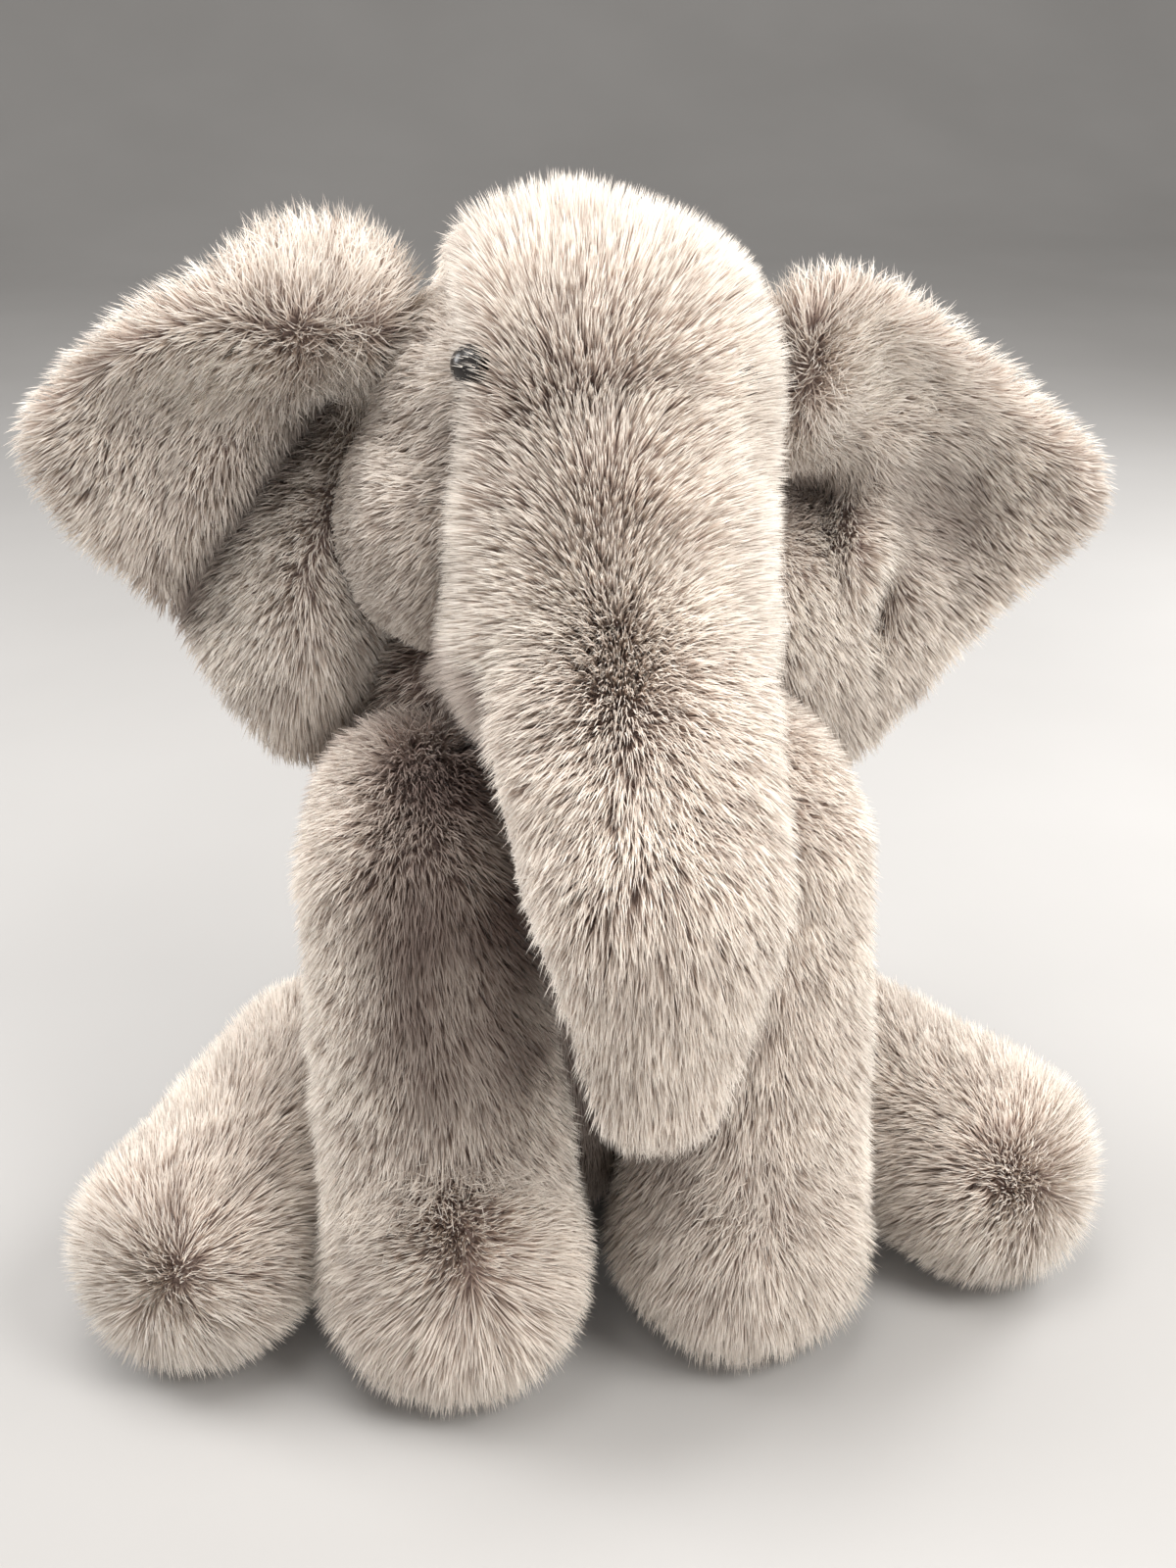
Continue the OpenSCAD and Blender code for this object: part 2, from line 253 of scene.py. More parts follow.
def swell(piece, seams, cap=4.0, seam_width=5.0, pressure=4.0):
    """Blows the skin up a little by cloth simulation, held along its sewn seams."""
    before = points_of(piece)
    held = np.ones(len(before)) * 0.02
    for path in seams:
        held = np.maximum(held, 1 - smooth(line_distance(before, path), 1, seam_width))
    group = piece.vertex_groups.new(name="held")
    for i, weight in enumerate(held):
        group.add([i], float(weight), "REPLACE")
    cloth = piece.modifiers.new("cloth", "CLOTH")
    cloth.settings.effector_weights.gravity = 0
    cloth.settings.use_pressure = True
    cloth.settings.uniform_pressure_force = pressure
    cloth.settings.vertex_group_mass = "held"
    cloth.settings.pin_stiffness = 1.0
    cloth.settings.quality = 3
    cloth.point_cache.frame_start = 1
    cloth.point_cache.frame_end = SWELL_FRAMES
    scene = bpy.context.scene
    for step in range(1, SWELL_FRAMES + 1):
        scene.frame_set(step)
    bake_modifiers(piece)
    scene.frame_set(1)
    after = points_of(piece)
    move = after - before
    far = np.linalg.norm(move, axis=1, keepdims=True)
    move *= np.minimum(1, cap / np.maximum(far, 1e-6))
    piece.vertex_groups.clear()
    set_points(piece, before + move)


def crease(piece, path, depth, width):
    """Pulls the skin in along a seam."""
    p = points_of(piece)
    pull = depth * np.exp(-(line_distance(p, path) / width) ** 2)
    set_points(piece, p - normals_of(piece) * pull[:, None])


def press_flat(piece, floor=1.2):
    """Flattens what is lower than the floor that the toy stands on."""
    p = points_of(piece)
    low = p[:, 2] < floor
    p[low, 2] = floor
    set_points(piece, p)


def finish_skin(piece, bumps=0.35):
    """Gives the skin the small unevenness of a filled fabric, and a finer, smoother mesh."""
    p = points_of(piece)
    move = bumps * 2 * noise(p, 18, 5) + bumps * noise(p, 7, 6)
    set_points(piece, p + normals_of(piece) * move[:, None])
    for polygon in piece.data.polygons:
        polygon.use_smooth = True
    sub = piece.modifiers.new("sub", "SUBSURF")
    sub.levels = 1
    sub.render_levels = 1


# --- Fur -----------------------------------------------------------------------------------

STRANDS_PER_MM2 = 3.4
CLUMP = 1.7              # tufts are about this far apart
STRAND_W = 0.34
SHOULDER_AT = 0.66       # a strand narrows to its point from this far along
ROOTS_ABOVE = 2.5        # no strand grows lower than this
TIPS_ABOVE = 0.4         # strands that would reach lower are laid on the ground


def triangles_of(piece):
    mesh = piece.data
    mesh.calc_loop_triangles()
    tris = np.zeros(len(mesh.loop_triangles) * 3, np.int32)
    mesh.loop_triangles.foreach_get("vertices", tris)
    return tris.reshape(-1, 3)


def scatter(piece, rng, density):
    """Random points on the skin, and the skin's normals there."""
    p, n, tris = points_of(piece), normals_of(piece), triangles_of(piece)
    a, b, c = (p[tris[:, i]] for i in range(3))
    area = np.linalg.norm(np.cross(b - a, c - a), axis=1) / 2
    count = int(area.sum() * density)
    total = np.cumsum(area)
    pick = np.searchsorted(total, rng.random(count) * total[-1])
    pick = np.minimum(pick, len(tris) - 1)
    u, v = rng.random(count), rng.random(count)
    flip = u + v > 1
    u[flip], v[flip] = 1 - u[flip], 1 - v[flip]
    w = np.stack([1 - u - v, u, v], axis=1)[:, :, None]
    roots = (p[tris[pick]] * w).sum(axis=1)
    normals = unit((n[tris[pick]] * w).sum(axis=1))
    return roots, normals


def tuft_centres(p, size, seed):
    """The nearest of a set of scattered tuft centres, for each point."""
    table = np.random.default_rng(seed).random((16, 16, 16, 3))
    cell = np.floor(p / size).astype(int)
    best = np.full(len(p), 1e9)
    centre = p.copy()
    for offset in itertools.product((-1, 0, 1), repeat=3):
        c = cell + offset
        i, j, k = (c % 16).T
        q = (c + table[i, j, k]) * size
        d = ((q - p) ** 2).sum(axis=1)
        near = d < best
        best[near] = d[near]
        centre[near] = q[near]
    return centre


def strands_mesh(name, base, middle, tip, across, normals, tones):
    """Tapered ribbons, one a strand, with how far along it each point is and the strand's tone."""
    count = len(base)
    ribbon = unit(np.cross(across, tip - base))
    outwards = np.where((ribbon * normals).sum(axis=1, keepdims=True) < 0, -1.0, 1.0)
    across, ribbon = across * outwards, ribbon * outwards
    w0 = across * STRAND_W / 2
    verts = np.stack([base - w0, base + w0, middle - 0.85 * w0, middle + 0.85 * w0, tip], axis=1)
    verts = verts.reshape(-1, 3) * MM
    i = np.arange(count) * 5
    quads = np.stack([i, i + 1, i + 3, i + 2], axis=1).ravel()
    tris = np.stack([i + 2, i + 3, i + 4], axis=1).ravel()
    starts = np.concatenate([np.arange(count) * 4, count * 4 + np.arange(count) * 3])
    mesh = bpy.data.meshes.new(name)
    mesh.vertices.add(len(verts))
    mesh.vertices.foreach_set("co", verts.ravel())
    mesh.loops.add(len(quads) + len(tris))
    mesh.loops.foreach_set("vertex_index", np.concatenate([quads, tris]).astype(np.int32))
    mesh.polygons.add(2 * count)
    mesh.polygons.foreach_set("loop_start", starts.astype(np.int32))
    mesh.update(calc_edges=True)
    facing = unit(normals + 0.4 * ribbon)
    layer = mesh.attributes.new("custom_normal", "FLOAT_VECTOR", "POINT")
    layer.data.foreach_set("vector", np.repeat(facing, 5, axis=0).astype(np.float32).ravel())
    along = np.tile([0, 0, SHOULDER_AT, SHOULDER_AT, 1], count)
    for key, values in (("along", along), ("tone", np.repeat(tones, 5))):
        layer = mesh.attributes.new(key, "FLOAT", "POINT")
        layer.data.foreach_set("value", values.astype(np.float32))
    piece = bpy.data.objects.new(name, mesh)
    bpy.context.scene.collection.objects.link(piece)
    return piece


def fur_of(skin, panels, comb, length, lean, seed, density=STRANDS_PER_MM2, tuft=0.6, shade=None):
    """Grows the skin's fur and splits it into its panels.

    panels maps each piece's name to a test of the roots. comb gives the way the pile lies at each root,
    length its length and lean how far it lies down, from 0 upright to 1 flat. Where shade is 1, the
    strands' tones are darkened most: painted shade, which on the forelegs also stands for crushed pile
    that shows its dark sides.
    """
    rng = np.random.default_rng(seed)
    roots, normals = scatter(skin, rng, density)
    keep = roots[:, 2] > ROOTS_ABOVE
    roots, normals = roots[keep], normals[keep]
    count = len(roots)
    flow = comb(roots, normals) + 0.28 * noise_vector(roots, 9, seed + 10)
    flow += 0.18 * rng.normal(size=(count, 3))
    flow -= normals * (flow * normals).sum(axis=1, keepdims=True)
    flow = unit(flow)
    down = lean(roots, normals) + 0.1 * noise(roots, 14, seed + 20) + 0.06 * rng.normal(size=count)
    down = np.clip(down, 0, 0.95)
    size = length(roots, normals) * (1 + 0.12 * noise(roots, 11, seed + 30)) * rng.uniform(0.78, 1.1, count)

    def way(amount):
        angle = (math.pi / 2) * np.clip(amount, 0, 0.97)[:, None]
        return normals * np.cos(angle) + flow * np.sin(angle)

    middle = roots + size[:, None] * SHOULDER_AT * way(down * 0.85)
    tip = middle + size[:, None] * (1 - SHOULDER_AT) * unit(way(down * 1.4) + [0, 0, -0.1])
    pull = tuft_centres(roots, CLUMP, seed + 40) - roots
    pull -= normals * (pull * normals).sum(axis=1, keepdims=True)
    middle += 0.5 * tuft * pull
    tip += tuft * pull
    for p in (middle, tip):
        low = p[:, 2] < TIPS_ABOVE
        p[low, 2] = TIPS_ABOVE + 0.05 * (TIPS_ABOVE - p[low, 2])
    spin = rng.uniform(0, math.pi, count)[:, None]
    side = unit(np.cross(normals, flow))
    across = side * np.cos(spin) + unit(np.cross(side, tip - roots)) * np.sin(spin)
    tones = np.clip(0.68 + 0.22 * noise(roots, 2.6, seed + 50) + rng.uniform(-0.26, 0.26, count), 0, 1)
    # painted shade: each strand's tone is darkened where the shade test is above 0
    if shade:
        tones *= 1 - 0.9 * shade(roots, normals)
    pieces = []
    left_over = np.ones(count, bool)
    for name, test in panels.items():
        mine = left_over & test(roots, normals)
        left_over &= ~mine
        parts = [a[mine] for a in (roots, middle, tip, across, normals, tones)]
        pieces.append(strands_mesh(name, *parts))
    return pieces


# --- Materials -----------------------------------------------------------------------------


def material(name):
    m = bpy.data.materials.new(name)
    m.use_nodes = True
    tree = m.node_tree
    tree.nodes.clear()
    out = tree.nodes.new("ShaderNodeOutputMaterial")
    shader = tree.nodes.new("ShaderNodeBsdfPrincipled")
    tree.links.new(shader.outputs["BSDF"], out.inputs["Surface"])
    return m, tree, shader


def ramp(tree, source, stops):
    node = tree.nodes.new("ShaderNodeValToRGB")
    while len(node.color_ramp.elements) < len(stops):
        node.color_ramp.elements.new(0.5)
    for element, (place, colour) in zip(node.color_ramp.elements, stops):
        element.position = place
        element.color = (*colour, 1)
    tree.links.new(source, node.inputs["Fac"])
    return node.outputs["Color"]


def noise_node(tree, scale, detail=3.0):
    place = tree.nodes.new("ShaderNodeTexCoord")
    node = tree.nodes.new("ShaderNodeTexNoise")
    node.inputs["Scale"].default_value = scale
    node.inputs["Detail"].default_value = detail
    tree.links.new(place.outputs["Object"], node.inputs["Vector"])
    return node.outputs["Fac"]


def mix(tree, kind, a, b, factor):
    node = tree.nodes.new("ShaderNodeMix")
    node.data_type = "RGBA"
    node.blend_type = kind
    for socket, value in ((node.inputs[0], factor), (node.inputs[6], a), (node.inputs[7], b)):
        if isinstance(value, bpy.types.NodeSocket):
            tree.links.new(value, socket)
        elif isinstance(value, tuple):
            socket.default_value = (*value, 1)
        else:
            socket.default_value = value
    return node.outputs[2]


def bump(tree, shader, height, distance, strength=0.5):
    node = tree.nodes.new("ShaderNodeBump")
    node.inputs["Distance"].default_value = distance
    node.inputs["Strength"].default_value = strength
    tree.links.new(height, node.inputs["Height"])
    tree.links.new(node.outputs["Normal"], shader.inputs["Normal"])


def fur_material(name, root, middle, tip):
    """Pile that is dark at its roots and creamy at its tips, each strand a little different, and darker where
    shade is painted into its tone.
    """
    m, tree, shader = material(name)
    along = tree.nodes.new("ShaderNodeAttribute")
    along.attribute_name = "along"
    tone = tree.nodes.new("ShaderNodeAttribute")
    tone.attribute_name = "tone"
    colour = ramp(tree, along.outputs["Fac"], [(0.0, root), (0.5, middle), (0.78, tip), (1.0, tip)])
    # the tone holds each strand's own random variation and, towards 0, the painted shade that fur_of puts in
    shade = ramp(tree, tone.outputs["Fac"], [
        (0.0, (0.22, 0.16, 0.15)), (0.3, (0.58, 0.54, 0.52)),
        (0.6, (0.92, 0.91, 0.9)), (1.0, (1.1, 1.1, 1.1))])
    colour = mix(tree, "MULTIPLY", colour, shade, 1.0)
    patch = ramp(tree, noise_node(tree, 45), [(0.3, (0.90, 0.885, 0.88)), (0.7, (1.04, 1.04, 1.04))])
    colour = mix(tree, "MULTIPLY", colour, patch, 1.0)
    tree.links.new(colour, shader.inputs["Base Color"])
    through = tree.nodes.new("ShaderNodeBsdfTranslucent")
    tree.links.new(colour, through.inputs["Color"])
    both = tree.nodes.new("ShaderNodeMixShader")
    both.inputs["Fac"].default_value = 0.35
    tree.links.new(shader.outputs["BSDF"], both.inputs[1])
    tree.links.new(through.outputs["BSDF"], both.inputs[2])
    tree.links.new(both.outputs["Shader"], tree.nodes["Material Output"].inputs["Surface"])
    shader.inputs["Roughness"].default_value = 0.62
    shader.inputs["Sheen Weight"].default_value = 0.25
    shader.inputs["Sheen Roughness"].default_value = 0.4
    shader.inputs["Specular IOR Level"].default_value = 0.35
    return m


def backing_material():
    """The knitted backing under the pile, in the dark of the roots."""
    m, tree, shader = material("fur_backing")
    colour = ramp(tree, noise_node(tree, 900), [(0.35, (0.20, 0.145, 0.125)), (0.7, (0.34, 0.26, 0.23))])
    tree.links.new(colour, shader.inputs["Base Color"])
    shader.inputs["Roughness"].default_value = 0.95
    bump(tree, shader, noise_node(tree, 1400), 0.0004)
    return m


def fibre_material():
    m, tree, shader = material("polyester_filling")
    colour = ramp(tree, noise_node(tree, 260, 6), [(0.3, (0.72, 0.72, 0.70)), (0.7, (0.93, 0.93, 0.91))])
    tree.links.new(colour, shader.inputs["Base Color"])
    shader.inputs["Roughness"].default_value = 0.9
    bump(tree, shader, noise_node(tree, 420, 6), 0.002)
    return m


def woven_material(name, dark, light, scale):
    """Plain weave: two crossed sets of fine waves."""
    m, tree, shader = material(name)
    place = tree.nodes.new("ShaderNodeTexCoord")
    waves = []
    for direction in ("X", "Z"):
        wave = tree.nodes.new("ShaderNodeTexWave")
        wave.bands_direction = direction
        wave.inputs["Scale"].default_value = scale
        wave.inputs["Distortion"].default_value = 0.6
        tree.links.new(place.outputs["Object"], wave.inputs["Vector"])
        waves.append(wave.outputs["Fac"])
    both = tree.nodes.new("ShaderNodeMath")
    both.operation = "MULTIPLY"
    for wave, socket in zip(waves, both.inputs):
        tree.links.new(wave, socket)
    tree.links.new(ramp(tree, both.outputs[0], [(0.1, dark), (0.8, light)]), shader.inputs["Base Color"])
    shader.inputs["Roughness"].default_value = 0.85
    bump(tree, shader, both.outputs[0], 0.0003)
    return m


def plastic_material(name, low, high, roughness):
    m, tree, shader = material(name)
    tree.links.new(ramp(tree, noise_node(tree, 300), [(0.4, low), (0.6, high)]), shader.inputs["Base Color"])
    shader.inputs["Roughness"].default_value = roughness
    return m


def pellet_material():
    m, tree, shader = material("pellets")
    place = tree.nodes.new("ShaderNodeTexCoord")
    cells = tree.nodes.new("ShaderNodeTexVoronoi")
    cells.inputs["Scale"].default_value = 320
    tree.links.new(place.outputs["Object"], cells.inputs["Vector"])
    colour = ramp(tree, cells.outputs["Distance"], [(0.1, (0.86, 0.89, 0.92)), (0.6, (0.45, 0.48, 0.52))])
    tree.links.new(colour, shader.inputs["Base Color"])
    shader.inputs["Roughness"].default_value = 0.35
    bump(tree, shader, cells.outputs["Distance"], 0.001)
    return m


FUR = {
    "fur": fur_material("fur", (0.40, 0.285, 0.24), (0.76, 0.64, 0.55), (0.98, 0.92, 0.84)),
    "fur_pale": fur_material("fur_pale", (0.50, 0.385, 0.33), (0.82, 0.72, 0.63), (0.98, 0.93, 0.86)),
    # a darker copy of the fur: painted shade for the chin, neck and belly, under the head
    "fur_deep": fur_material("fur_deep", (0.16, 0.10, 0.085), (0.42, 0.32, 0.27), (0.80, 0.71, 0.64)),
}
BACKING = backing_material()
FIBRE = fibre_material()


def dress(piece, m):
    piece.data.materials.clear()
    piece.data.materials.append(m)


def grow(skin, body, panels, comb, length, lean, seed, across=None, **how):
    """Puts fur on a skin. panels maps a piece's name to its slot and its test."""
    tests = {name: test for name, (slot, test) in panels.items()}
    for piece in fur_of(skin, tests, comb, length, lean, seed, **how):
        slot = panels[piece.name][0]
        dress(piece, FUR[slot])
        attach(piece, body, across)


def attach(piece, body, across=None):
    """Rides on a body, or, given across, has its place applied to its mesh and rides on no body: across is (parent
    body, start, end) in millimetres, and only whether it is given is read.
    """
    if across:
        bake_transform(piece)
    else:
        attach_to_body(piece, body)


def settle(skin, body, nodes, across=None):
    dress(skin, BACKING)
    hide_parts(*nodes)
    attach(skin, body, across)


def everywhere(p, n):
    return np.ones(len(p), bool)


def mirror(p, side):
    return np.asarray(p, float) * [side, 1, 1]


# --- The limbs -----------------------------------------------------------------------------


def make_filling(name, p1, r1, p2, r2, body, node):
    """Polyester filling that follows a moved skin, in place of its CAD node."""
    filling = soft_form(name, [(p1, r1, p2, r2)])
    finish_skin(filling, bumps=0.8)
    dress(filling, FIBRE)
    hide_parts(node)
    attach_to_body(filling, body)


def chest_painted_shade(p, n):
    """Painted shade: the pile of the chest is darkened on the toy's right, beside the trunk, where shade falls."""
    beside = 0.75 * (1 - smooth(p[:, 0], -20, 10))
    return beside * smooth(-n[:, 1], -0.2, 0.4) * smooth(p[:, 2], 80, 110)


def make_body():
    skin = soft_form("body_skin", [
        (SEAT, SEAT_R - SKIN_IN, CHEST, CHEST_R - SKIN_IN),
        (YOKE, 25 - SKIN_IN, CHEST, 33 - SKIN_IN),
        (mirror(YOKE, -1), 25 - SKIN_IN, CHEST, 33 - SKIN_IN),
        (SHOULDER + [-3, 15, 10], 20, SHOULDER + [-10, 10, -20], 20),
        (mirror(SHOULDER + [-3, 15, 10], -1), 20, mirror(SHOULDER + [-10, 10, -20], -1), 20),
    ])
    seams = [[[0, 44, 10], [0, 50, 42], [0, 34, 90], [0, 14, 118], [0, -8, 150]]]
    swell(skin, seams)
    crease(skin, seams[0], 2.0, 4)
    press_flat(skin)
    finish_skin(skin)
    settle(skin, "body", ("seat_panel", "belly_panel", "back_panel_left", "back_panel_right"))
    grow(skin, "body", {
        # the belly takes the darker fur copy: painted shade under the head and trunk
        "belly_fur": ("fur_deep", lambda p, n: p[:, 1] < -8),
        "back_fur_left": ("fur", lambda p, n: p[:, 0] > 0),
        "back_fur_right": ("fur", everywhere),
    }, comb=lambda p, n: np.tile([0, 0, -1.0], (len(p), 1)),
        length=lambda p, n: np.full(len(p), 10.0), lean=lambda p, n: np.full(len(p), 0.35),
        seed=100, density=2.7, shade=chest_painted_shade)


def make_neck():
    skin = soft_form("neck_skin", [(NECK + [-14, 0, 0], 30, NECK + [14, 0, 0], 30)], soften=4)
    finish_skin(skin)
    dress(skin, BACKING)
    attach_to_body(skin, "neck")
    # the neck takes the darker fur copy: painted shade under the head
    grow(skin, "neck", {"neck_fur": ("fur_deep", everywhere)},
         comb=lambda p, n: np.tile([0, 0, -1.0], (len(p), 1)),
         length=lambda p, n: np.full(len(p), 9.0), lean=lambda p, n: np.full(len(p), 0.4),
         seed=150, density=1.2)


GUSSET_X = 5.0           # the front panel's middle, as the head looks a little aside
GUSSET_HALF = 30.0
EYES = [node_middle("eye_" + side) for side in SIDES]
FAN = TRUNK_ROOT + [-3, -25, 22]      # the pile of the forehead and trunk spreads from here


def head_comb(p, n):
    q = untilt(p)
    front = np.abs(q[:, 0] - GUSSET_X) < GUSSET_HALF
    swept = np.stack([np.sign(q[:, 0]) * 0.3, 0.75 * np.ones(len(q)), -0.55 * np.ones(len(q))], axis=1)
    swept[:, 2] += 0.5 * smooth(q[:, 2], 225, 270)
    ahead = unit(p - FAN)
    ahead[q[:, 1] > DOME[1] + 5] = [0, 0.2, -1.0]
    return np.where(front[:, None], ahead, swept @ HEAD_TURN.T)


def head_lean(p, n):
    q = untilt(p)
    front = (np.abs(q[:, 0] - GUSSET_X) < GUSSET_HALF) & (q[:, 1] < DOME[1])
    return np.where(front, 0.03 + 0.12 * smooth(np.linalg.norm(p - FAN, axis=1), 20, 95), 0.62)


def head_length(p, n):
    q = untilt(p)
    front = np.abs(q[:, 0] - GUSSET_X) < GUSSET_HALF
    by_eye = np.min([np.linalg.norm(p - eye, axis=1) for eye in EYES], axis=0)
    return np.where(front, 10.5, 6.5 + 4.5 * (1 - smooth(by_eye, 6, 12)))


def sink_sides(skin):
    """Lets the front panel stand proud of the side panels beside it."""
    p = points_of(skin)
    out = np.abs(untilt(p)[:, 0] - GUSSET_X) - GUSSET_HALF
    depth = 4.5 * smooth(out, -1.5, 3.0) * (1 - 0.8 * smooth(out, 6, 24)) * smooth(-p[:, 1], 0, 30)
    set_points(skin, p - normals_of(skin) * depth[:, None])


def make_head():
    skin = soft_form("head_skin", [
        (tilt(MUZZLE), MUZZLE_R - SKIN_IN, tilt(DOME), DOME_R - SKIN_IN),
        (tilt(MUZZLE + [0, -16, 8]), 32, TRUNK_ROOT + [0, 12, 4], 26),
        (tilt(DOME + [3, -15, -2]), 32, TRUNK_ROOT + [0, 3, 7], 29),
        (tilt(MUZZLE + [10, 4, 4]), 37, tilt(MUZZLE + [-16, 6, 2]), 36),
    ])
    seams = []
    for s in SIDES.values():
        seams.append([tilt([GUSSET_X + s * GUSSET_HALF, y, z])
                      for y, z in ((-20, 270), (-55, 255), (-72, 235), (-84, 205), (-92, 188))])
    swell(skin, seams)
    sink_sides(skin)
    for s, back in itertools.product(SIDES.values(), (10, 19)):
        fold = [tilt([GUSSET_X + s * (GUSSET_HALF + back), y + back, z])
                for y, z in ((-64, 262), (-84, 232), (-80, 196))]
        crease(skin, fold, 1.8, 3.0)
    finish_skin(skin)
    make_filling("head_filling", tilt(MUZZLE), 32, tilt(DOME), 38, "head", "head_stuffing")
    settle(skin, "head", ("head_gusset", "head_side_left", "head_side_right", "chin_panel"))
    # the toy's right side panel is darkened by 0.3: painted shade, for the side turned from the key light
    grow(skin, "head", {
        "head_side_fur_left": ("fur_pale", lambda p, n: untilt(p)[:, 0] > GUSSET_X + GUSSET_HALF),
        "head_side_fur_right": ("fur_pale", lambda p, n: untilt(p)[:, 0] < GUSSET_X - GUSSET_HALF),
        # the chin takes the darker fur copy: painted shade under the head
        "chin_fur": ("fur_deep", lambda p, n: untilt(p)[:, 2] < MUZZLE[2] - 14),
        "head_gusset_fur": ("fur", everywhere),
    }, comb=head_comb, length=head_length, lean=head_lean, seed=200,
        shade=lambda p, n: 0.3 * (untilt(p)[:, 0] < GUSSET_X - GUSSET_HALF))


def make_trunk():
    skin = soft_form("trunk_skin", [
        (TRUNK_ROOT, TRUNK_ROOT_R - SKIN_IN, TRUNK_BEND, TRUNK_BEND_R - SKIN_IN),
        (TRUNK_BEND, TRUNK_BEND_R - SKIN_IN, TRUNK_TIP, TRUNK_TIP_R - SKIN_IN),
        (TRUNK_ROOT + [0, 12, 14], 26, TRUNK_ROOT, 30),
    ])
    line = [TRUNK_ROOT + [0, 6, 8], TRUNK_ROOT, TRUNK_BEND, TRUNK_TIP + [0, 0, 8]]
    sizes = (28, 30, 26, 14)
    swell(skin, [[q + r * np.array([s * 0.78, -0.62, 0]) for q, r in zip(line, sizes)]
                 for s in SIDES.values()])

    def from_seam(p):
        """How far outside the front panel a point is, in millimetres."""
        down = TRUNK_ROOT[2] - p[:, 2]
        middle = np.interp(down, [-40, 0, 36, 74],
                           [TRUNK_ROOT[1] + 20, TRUNK_ROOT[1], TRUNK_BEND[1], TRUNK_TIP[1]])
        return 0.6 * (np.abs(p[:, 0] - TRUNK_ROOT[0]) - 1.15 * (middle - p[:, 1]))

    p = points_of(skin)
    set_points(skin, p - normals_of(skin) * (3.0 * smooth(from_seam(p), -1.5, 2.5))[:, None])
    finish_skin(skin)
    across = ("head", TRUNK_ROOT + [0, 0, 10], TRUNK_ROOT + [0, -16, -22])
    settle(skin, "trunk", ("trunk_front", "trunk_side_left", "trunk_side_right"), across)

    def in_front(p, n):
        return from_seam(p) < 0

    def comb(p, n):
        away = unit(p - FAN)
        front = in_front(p, n)[:, None]
        outwards = np.sign(p[:, 0] - TRUNK_ROOT[0]) * 0.4
        swept = np.stack([outwards, 0.8 * np.ones(len(p)), -0.5 * np.ones(len(p))], axis=1)
        drop = [0, 0, -0.25] * smooth(-p[:, 2:], -TRUNK_ROOT[2], -TRUNK_BEND[2])
        return np.where(front, away + drop, swept)

    def lean(p, n):
        far = np.linalg.norm(p - FAN, axis=1)
        return np.where(in_front(p, n), 0.05 + 0.40 * smooth(far, 3, 38), 0.66)

    grow(skin, "trunk", {
        "trunk_front_fur": ("fur", in_front),
        "trunk_side_fur_left": ("fur_pale", lambda p, n: p[:, 0] > TRUNK_ROOT[0]),
        "trunk_side_fur_right": ("fur_pale", everywhere),
    }, comb=comb, length=lambda p, n: np.where(in_front(p, n), 10.5, 6.0), lean=lean,
        seed=300, across=across)


def make_foreleg(side):
    s = SIDES[side]
    skin = soft_form("foreleg_skin_visual_" + side, [
        (mirror(SHOULDER, s), FORELEG_R - SKIN_IN, mirror(FOREFOOT, s), FOREFOOT_R - SKIN_IN),
        (mirror(SHOULDER, s), 22, mirror(SHOULDER + [-4, 10, 11], s), 21),
    ])
    sole = [mirror(FOREFOOT, s) + [24 * math.cos(a), 24 * math.sin(a), -26]
            for a in np.linspace(0, 2 * math.pi, 13)]
    swell(skin, [sole])
    press_flat(skin)
    finish_skin(skin)
    body = "foreleg_" + side
    nodes = ("foreleg_skin_" + side, "foreleg_sole_" + side)
    settle(skin, body, nodes)
    whorl = mirror(FOREFOOT, s) + [0, -30, 14]
    spread = 1.0 if side == "right" else 0.4

    def comb(p, n):
        away = unit(p - whorl)
        near = 1 - smooth(np.linalg.norm(p - whorl, axis=1), 12, 44)
        near = spread * near[:, None]
        return np.array([0, -0.1, -1.0]) * (1 - near) + away * near

    def lean(p, n):
        near = 1 - smooth(np.linalg.norm(p - whorl, axis=1), 4, 20)
        return 0.38 - 0.16 * spread * near

    # painted shade on each foreleg's inner side, strongest high on the right foreleg, where it also stands for
    # pile brushed to show its dark sides
    def shade(p, n):
        if side == "left":
            return 0.5 * smooth(-n[:, 0], 0.35, 0.8) * smooth(p[:, 2], 20, 60)
        inner = 0.85 * smooth(n[:, 0], -0.95, -0.1) * smooth(p[:, 2], 48, 112)
        return np.clip(inner * (1 + 0.4 * noise(p, 12, 9)), 0, 1)

    grow(skin, body, {"foreleg_fur_" + side: ("fur", everywhere)}, comb=comb,
         length=lambda p, n: 9.5 + 4.0 * smooth(-p[:, 2], -60, -25), lean=lean,
         seed=400 + 20 * s, density=3.0, shade=shade)


